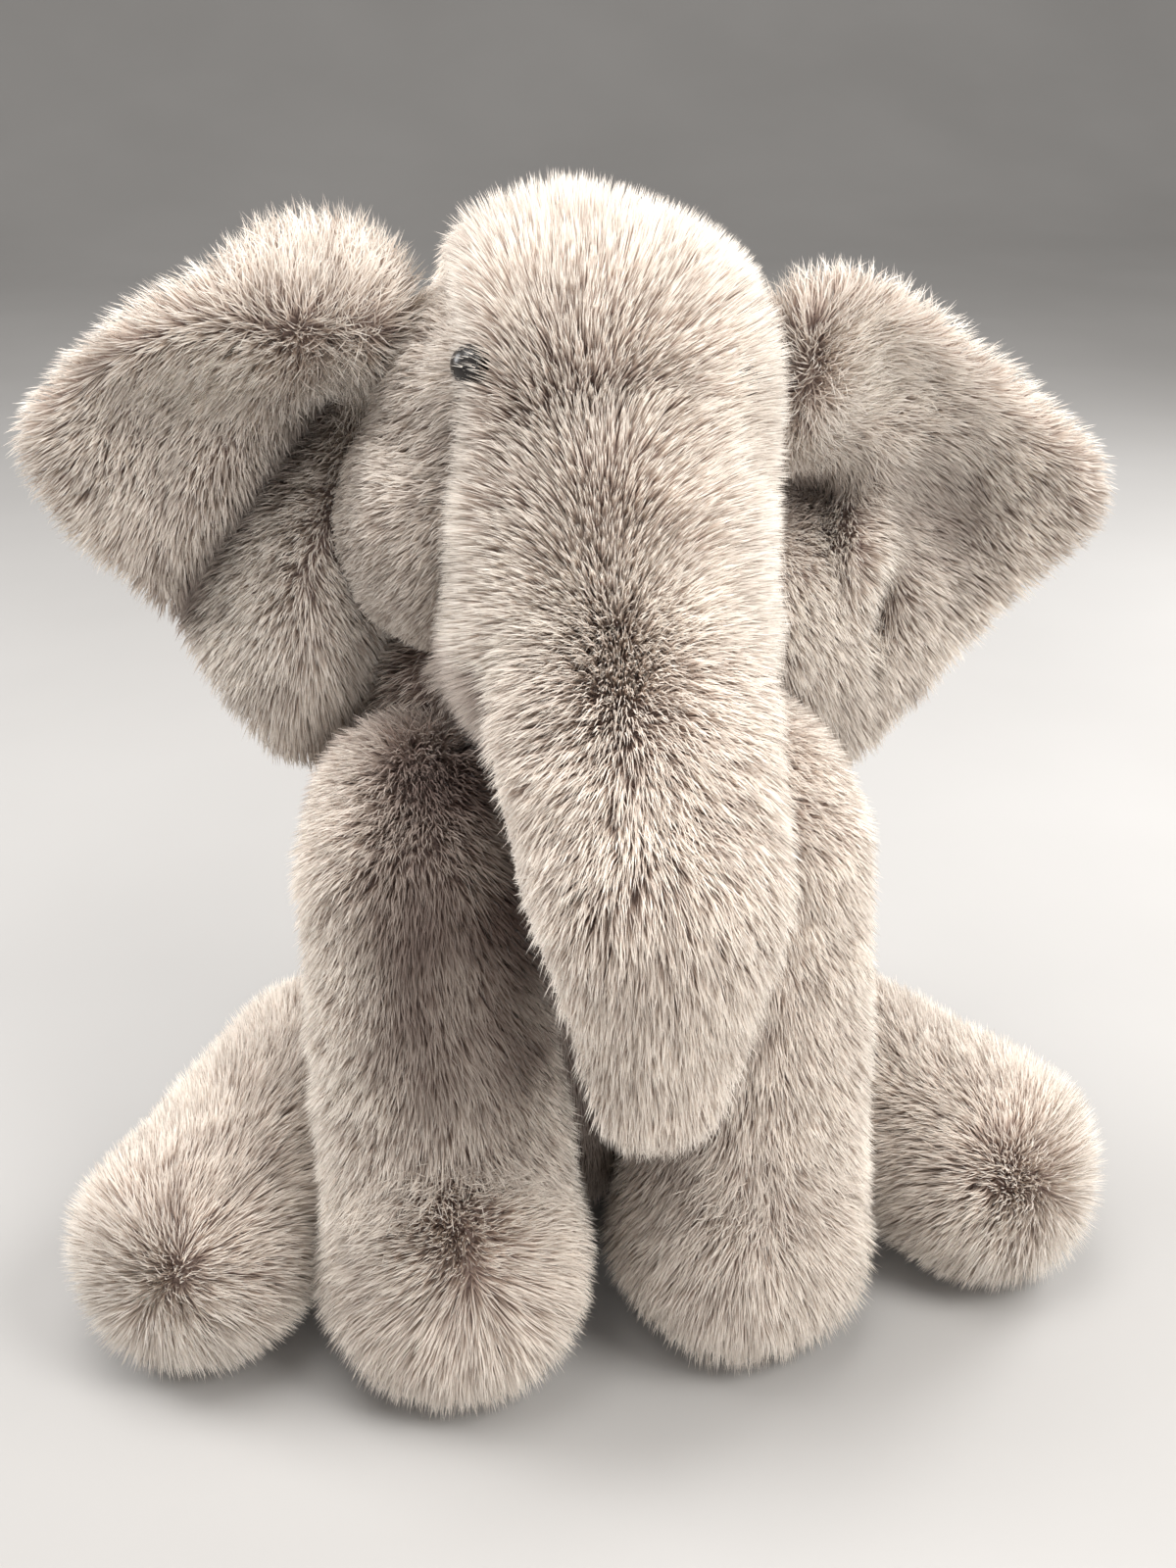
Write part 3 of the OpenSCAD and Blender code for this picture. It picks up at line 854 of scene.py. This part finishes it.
def make_hindleg(side):
    s = SIDES[side]
    foot, hip = mirror(HINDFOOT, s), mirror(HIP, s)
    if side == "right":
        foot = foot + [8, 7, 0]
        make_filling("hindleg_filling_right", hip, 20, foot, 22, "hindleg_right", "hindleg_stuffing_right")
    skin = soft_form("hindleg_skin_visual_" + side, [
        (hip, HINDLEG_R - SKIN_IN, foot, HINDFOOT_R - SKIN_IN)])
    ahead = unit(foot - hip)
    press_flat(skin)
    finish_skin(skin)
    body = "hindleg_" + side
    settle(skin, body, ("hindleg_skin_" + side, "hindleg_sole_" + side))
    whorl = foot + ahead * 27 + [0, -6, 4]

    def comb(p, n):
        away = unit(p - whorl)
        near = 1 - smooth(np.linalg.norm(p - whorl, axis=1), 26, 44)
        back = -ahead + [0, 0, -0.6]
        return back * (1 - near[:, None]) + away * near[:, None]

    def lean(p, n):
        near = 1 - smooth(np.linalg.norm(p - whorl, axis=1), 2, 14)
        return 0.34 - 0.24 * near

    grow(skin, body, {
        "hindleg_sole_fur_" + side: ("fur_pale", lambda p, n: (p - foot) @ ahead > 15),
        "hindleg_fur_" + side: ("fur", everywhere),
    }, comb=comb, length=lambda p, n: 10.0 + 2.5 * smooth((p - foot) @ ahead, 0, 20), lean=lean,
        seed=500 + 20 * s)


def make_tail():
    skin = soft_form("tail_visual", [
        (TAIL_ROOT, 4, TUFT, 3.5), (TUFT, 6, TUFT + [0, 0, -3], 5)], voxel=1.5, soften=4)
    finish_skin(skin, bumps=0.1)
    settle(skin, "tail", ("tail_skin", "tail_tuft"))
    grow(skin, "tail", {
        "tuft_fur": ("fur_pale", lambda p, n: p[:, 2] < TUFT[2] + 8),
        "tail_fur": ("fur", everywhere),
    }, comb=lambda p, n: np.tile([0, 0.2, -1.0], (len(p), 1)),
        length=lambda p, n: np.where(p[:, 2] < TUFT[2] + 8, 10.0, 5.0),
        lean=lambda p, n: np.full(len(p), 0.6), seed=600)


# --- Ears ----------------------------------------------------------------------------------

EAR_W = {"left": 90.0, "right": 73.0}
EAR_ROOT = 47.0
EAR_LOBE = {"left": 0.33, "right": 0.1}
EAR_H = 122.0
EAR_TOP = DOME[2] + 0.66 * DOME_R
EAR_PLANE = DOME[1] + 13
EAR_THICK = 2.6          # half the ear's skin, at its thickest


def ear_outline(width, low, count):
    """The ear's rim: x out from the root, z down from the crown. low is how far out the lobe is."""
    corners = [((0.17 * width, -18), 18), ((0.6 * width, -0.15 * EAR_H - 16), 16),
               ((width - 16, -0.39 * EAR_H), 16), ((low * width, 16 - EAR_H), 16),
               ((0.1 * width, 34 - EAR_H), 14)]
    rim = []
    for a in np.linspace(0, 2 * math.pi, count, endpoint=False):
        way = np.array([math.cos(a), math.sin(a)])
        (x, z), r = max(corners, key=lambda c: np.dot(c[0], way) + c[1])
        rim.append([x + r * way[0], z + r * way[1]])
    rim = np.array(rim)
    for _ in range(2):
        rim = 0.5 * rim + 0.25 * (np.roll(rim, 1, axis=0) + np.roll(rim, -1, axis=0))
    steps = np.append(0, np.cumsum(np.linalg.norm(np.roll(rim, -1, axis=0) - rim, axis=1)))
    even = np.linspace(0, steps[-1], count, endpoint=False)
    closed = np.vstack([rim, rim[:1]])
    return np.stack([np.interp(even, steps, closed[:, i]) for i in (0, 1)], axis=1)


def hill(u, v, at, spread):
    return np.exp(-((u - at[0]) / spread[0]) ** 2 - ((v - at[1]) / spread[1]) ** 2)


def ear_forward(u, v, side):
    """How far the ear's middle stands forward of its plane, at u across and v down, both from 0 to 1."""
    if side == "right":
        along = np.clip(((u - 0.12) * 0.42 + (v - 0.30) * 0.40) / (0.42 ** 2 + 0.40 ** 2), 0, 1)
        valley = np.hypot(u - 0.12 - 0.42 * along, v - 0.30 - 0.40 * along)
        rolled = 15 * np.exp(-((v - 0.12) / 0.12) ** 2)
        return (rolled - 20 * np.exp(-(valley / 0.10) ** 2) * (1 - 0.35 * along)
                + 14 * hill(u, v, (0.16, 0.72), (0.2, 0.24)) + 7 * smooth(u, 0.6, 1.05)
                - 6 * smooth(u + v, 1.15, 1.7))
    return (9 * (1 - smooth(v, 0.0, 0.18)) + 15 * hill(u, v, (0.08, 0.17), (0.13, 0.15))
            - 20 * hill(u, v, (0.16, 0.42), (0.19, 0.09)) - 8 * hill(u, v, (0.6, 0.45), (0.26, 0.17))
            + 9 * hill(u, v, (0.14, 0.76), (0.26, 0.2)) + 8 * smooth(u, 0.65, 1.05)
            + 6 * hill(u, v, (0.36, 0.5), (0.06, 0.14)) - 9 * hill(u, v, (0.44, 0.66), (0.05, 0.09)))


def make_ear(side):
    s = SIDES[side]
    width = EAR_W[side]
    rim = ear_outline(width, EAR_LOBE[side], 72)
    core = np.array([0.42 * width, -0.45 * EAR_H])
    rings, around = 20, len(rim)
    verts, faces = [], []
    for sign in (-1, 1):
        for k in range(rings + 1):
            f = k / rings
            q = core + (rim - core) * f
            y = (-ear_forward(q[:, 0] / width, -q[:, 1] / EAR_H, side)
                 + sign * EAR_THICK * math.sqrt(1 - f ** 4))
            verts.append(np.stack([s * (EAR_ROOT + q[:, 0]), EAR_PLANE + y, EAR_TOP + q[:, 1]], axis=1))
    for half in (0, 1):
        for k in range(rings):
            for i in range(around):
                a, b = ((half * (rings + 1) + k) * around + j for j in (i, (i + 1) % around))
                quad = (a, b, b + around, a + around)
                faces.append(quad if (half == 0) == (s > 0) else quad[::-1])
    skin = new_object("ear_visual_" + side, tilt(np.vstack(verts)), faces)
    mesh = bmesh.new()
    mesh.from_mesh(skin.data)
    bmesh.ops.remove_doubles(mesh, verts=mesh.verts, dist=1e-5)
    bmesh.ops.recalc_face_normals(mesh, faces=mesh.faces)
    mesh.to_mesh(skin.data)
    mesh.free()
    finish_skin(skin, bumps=0.5)
    out = np.array([s * math.cos(HEAD_TILT), 0, -s * math.sin(HEAD_TILT)])
    root = tilt([s * 52.0, EAR_PLANE, EAR_TOP - 60])
    across = ("head", root - 2 * out, root + 16 * out)
    body = "ear_" + side
    settle(skin, body, ("ear_front_" + side, "ear_back_" + side), across)

    def comb(p, n):
        q = untilt(p)
        away = np.stack([(q[:, 0] - s * 60) / 40, np.zeros(len(q)), (q[:, 2] - EAR_TOP + 45) / 40], axis=1)
        return away + [0, 0, -0.35]

    def shade(p, n):
        """The pile is darkened in the ear's hollow: painted shade."""
        q = untilt(p)
        u, v = (s * q[:, 0] - EAR_ROOT) / width, (EAR_TOP - q[:, 2]) / EAR_H
        hollow = smooth(-ear_forward(u, v, side), -2, 12) * (n[:, 1] < 0)
        return 0.75 * hollow

    grow(skin, body, {
        "ear_front_fur_" + side: ("fur_pale", lambda p, n: n[:, 1] < 0),
        "ear_back_fur_" + side: ("fur", everywhere),
    }, comb=comb, length=lambda p, n: 8.5 + 3.0 * smooth(untilt(p)[:, 2], EAR_TOP - 40, EAR_TOP - 8),
        lean=lambda p, n: np.full(len(p), 0.36), seed=700 + 20 * s, across=across, shade=shade)


# --- What is inside, and the eyes ----------------------------------------------------------


def finish_frame_nodes():
    looks = {
        "polyester_filling": FIBRE,
        "pouch_cloth": woven_material("pouch_cloth", (0.50, 0.48, 0.42), (0.86, 0.84, 0.77), 900),
        "pellets": pellet_material(),
        "washer_plastic": plastic_material("washer_plastic", (0.80, 0.80, 0.77), (0.90, 0.90, 0.88), 0.4),
        "eye_plastic": plastic_material("eye_plastic", (0.008, 0.006, 0.006), (0.014, 0.011, 0.010), 0.32),
        "thread": woven_material("thread", (0.20, 0.15, 0.14), (0.50, 0.42, 0.40), 1500),
    }
    for part in frame["record"]["subparts"]:
        if part["material_slot"] in looks:
            node = frame["nodes"][part["node"]]
            node.data.materials.clear()
            node.data.materials.append(looks[part["material_slot"]])


# --- Camera, floor and light ---------------------------------------------------------------


CAMERA_AZIMUTH, CAMERA_ELEVATION = math.radians(-11), math.radians(25)
CAMERA_AIM = (4, -46, 142)
CAMERA_FAR = 450         # from the aim to the camera
SENSOR = 36
FOCAL = 1.15625          # the focal length as a share of the sensor


def make_camera():
    level = math.cos(CAMERA_ELEVATION)
    back = Vector((math.sin(CAMERA_AZIMUTH) * level, -math.cos(CAMERA_AZIMUTH) * level,
                   math.sin(CAMERA_ELEVATION)))
    target = Vector(CAMERA_AIM) * MM
    data = bpy.data.cameras.new("camera")
    camera = bpy.data.objects.new("camera", data)
    bpy.context.scene.collection.objects.link(camera)
    camera.location = target + back * (CAMERA_FAR * MM)
    camera.rotation_euler = (-back).to_track_quat("-Z", "Y").to_euler()
    data.sensor_width = SENSOR
    data.lens = FOCAL * SENSOR
    data.clip_start = 0.01
    bpy.context.scene.camera = camera


# The floor and its raised back, in metres
FLOOR_HALF = 5.0
FLOOR_FRONT, FLOOR_BACK = -4.0, 1.6      # the flat part runs between these
BACK_R = 1.2             # the curve that leads up from the flat part
BACK_TOP = 4.0


def make_floor():
    m, tree, shader = material("floor")
    tree.links.new(ramp(tree, noise_node(tree, 4), [(0.3, (0.37, 0.36, 0.35)), (0.7, (0.40, 0.39, 0.38))]),
                   shader.inputs["Base Color"])
    shader.inputs["Roughness"].default_value = 0.8
    rows = [(FLOOR_FRONT, 0.0)]
    for t in np.linspace(0, math.pi / 2, 13):
        rows.append((FLOOR_BACK + BACK_R * math.sin(t), BACK_R - BACK_R * math.cos(t)))
    rows.append((FLOOR_BACK + BACK_R, BACK_TOP))
    verts = [(x, y, z) for y, z in rows for x in (-FLOOR_HALF, FLOOR_HALF)]
    faces = [(2 * i, 2 * i + 1, 2 * i + 3, 2 * i + 2) for i in range(len(rows) - 1)]
    mesh = bpy.data.meshes.new("floor")
    mesh.from_pydata(verts, [], faces)
    for polygon in mesh.polygons:
        polygon.use_smooth = True
    floor = bpy.data.objects.new("floor", mesh)
    bpy.context.scene.collection.objects.link(floor)
    floor.data.materials.append(m)


def area_light(name, place, aim, size, power, colour=(1, 1, 1)):
    data = bpy.data.lights.new(name, "AREA")
    data.shape = "DISK"
    data.size = size
    data.energy = power
    data.color = colour
    lamp = bpy.data.objects.new(name, data)
    bpy.context.scene.collection.objects.link(lamp)
    lamp.location = place
    lamp.rotation_euler = (Vector(aim) - Vector(place)).to_track_quat("-Z", "Y").to_euler()


def make_light():
    world = bpy.data.worlds.new("studio")
    bpy.context.scene.world = world
    world.use_nodes = True
    sky = world.node_tree.nodes["Background"]
    sky.inputs["Color"].default_value = (0.95, 0.93, 0.91, 1)
    sky.inputs["Strength"].default_value = 0.55
    aim = (0, -0.03, 0.15)
    area_light("key", (0.6, -0.65, 0.95), aim, 0.6, 11, (1.0, 0.985, 0.96))
    area_light("top", (-0.2, -0.1, 1.15), aim, 0.8, 10, (1.0, 0.985, 0.97))
    area_light("rim_right", (0.85, 0.35, 0.5), aim, 0.5, 8)
    area_light("rim_left", (-0.85, 0.25, 0.65), aim, 0.5, 8)
    area_light("low", (0.1, -1.0, 0.14), (0, -0.03, 0.08), 0.6, 3.5, (1.0, 0.985, 0.97))
    bpy.context.scene.view_settings.view_transform = "Standard"


make_camera()
make_body()
make_neck()
make_head()
make_trunk()
for name in SIDES:
    make_ear(name)
    make_foreleg(name)
    make_hindleg(name)
make_tail()
finish_frame_nodes()
make_floor()
make_light()
